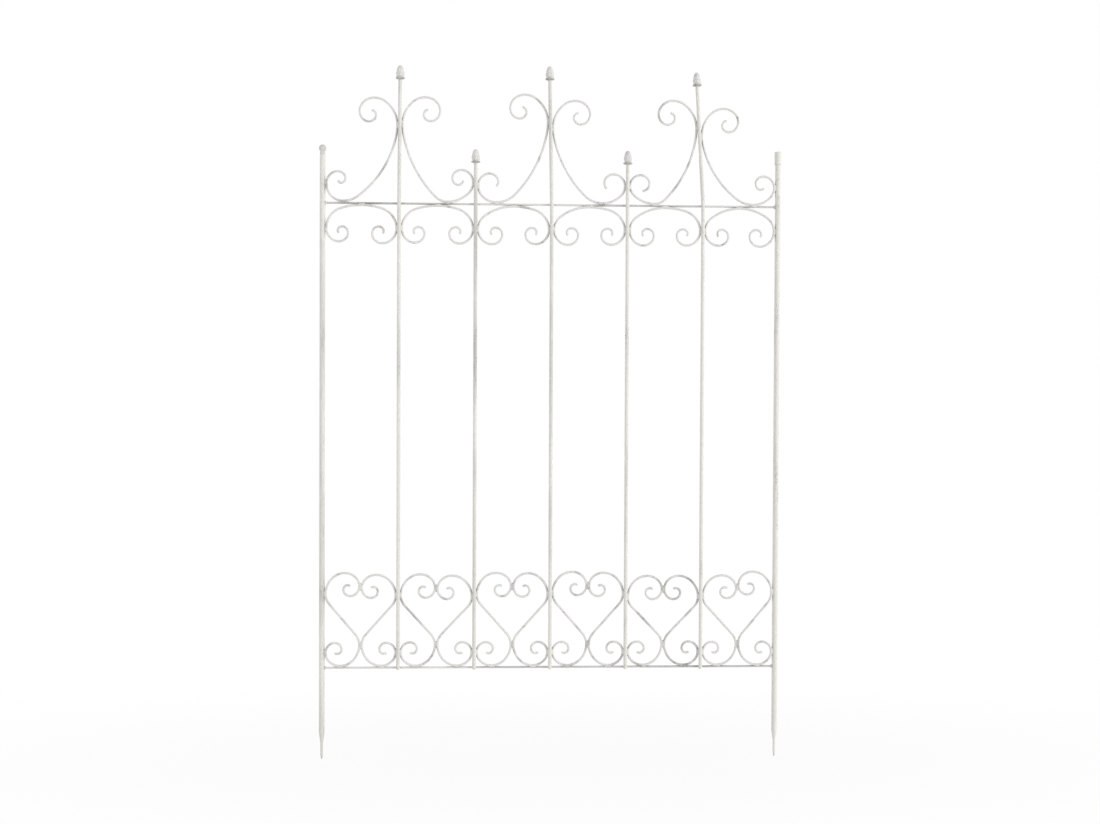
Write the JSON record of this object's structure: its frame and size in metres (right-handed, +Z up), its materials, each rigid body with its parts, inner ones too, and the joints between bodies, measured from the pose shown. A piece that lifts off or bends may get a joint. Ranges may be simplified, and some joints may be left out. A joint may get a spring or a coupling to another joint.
{
  "type": "garden trellis panel",
  "caption": "Welded metal garden trellis: upright bars with bud finials between two spiked posts, bent-wire crest scrolls above the top rail and hearts along the bottom rail.",
  "frame": {"origin": "level with the two spike tips and midway between them, in the plane of the bent-wire scrolls", "axes": "+Z up, +X along the panel to the right as seen from the front, the front (bars and finials) faces -Y"},
  "size_m": [1.0035, 0.0246, 1.501],
  "materials": {
    "post_paint": "off-white paint on steel tube, brushed thin, with grey-brown rubbed patches",
    "bar_paint": "off-white paint on round steel bar, rubbed through to grey-brown in places",
    "wire_paint": "off-white paint on bent steel wire, rubbed through on the outer curves",
    "casting_paint": "off-white paint on a small casting, dark in its hollows",
    "weld_paint": "off-white paint over weld beads, darker and rougher than the rods"
  },
  "bodies": {
    "root": {"left_post": "post_paint", "right_post": "post_paint", "right_post_sleeve": "post_paint", "bar_1": "bar_paint", "bar_2": "bar_paint", "bar_3": "bar_paint", "bar_4": "bar_paint", "bar_5": "bar_paint", "top_rail": "bar_paint", "bottom_rail": "bar_paint", "crest_scroll_1_left": "wire_paint", "crest_scroll_1_right": "wire_paint", "crest_scroll_3_left": "wire_paint", "crest_scroll_3_right": "wire_paint", "crest_scroll_5_left": "wire_paint", "crest_scroll_5_right": "wire_paint", "collar_scroll_1": "wire_paint", "collar_scroll_2": "wire_paint", "collar_scroll_3": "wire_paint", "collar_scroll_4": "wire_paint", "collar_scroll_5": "wire_paint", "collar_scroll_6": "wire_paint", "heart_scroll_1_left": "wire_paint", "heart_scroll_1_right": "wire_paint", "heart_scroll_2_left": "wire_paint", "heart_scroll_2_right": "wire_paint", "heart_scroll_3_left": "wire_paint", "heart_scroll_3_right": "wire_paint", "heart_scroll_4_left": "wire_paint", "heart_scroll_4_right": "wire_paint", "heart_scroll_5_left": "wire_paint", "heart_scroll_5_right": "wire_paint", "heart_scroll_6_left": "wire_paint", "heart_scroll_6_right": "wire_paint", "left_ball_cap": "casting_paint", "finial_1": "casting_paint", "finial_2": "casting_paint", "finial_3": "casting_paint", "finial_4": "casting_paint", "finial_5": "casting_paint", "rail_end_welds": "weld_paint", "bar_welds": "weld_paint", "heart_welds": "weld_paint", "collar_welds": "weld_paint", "crest_welds": "weld_paint"}
  },
  "joints": []
}
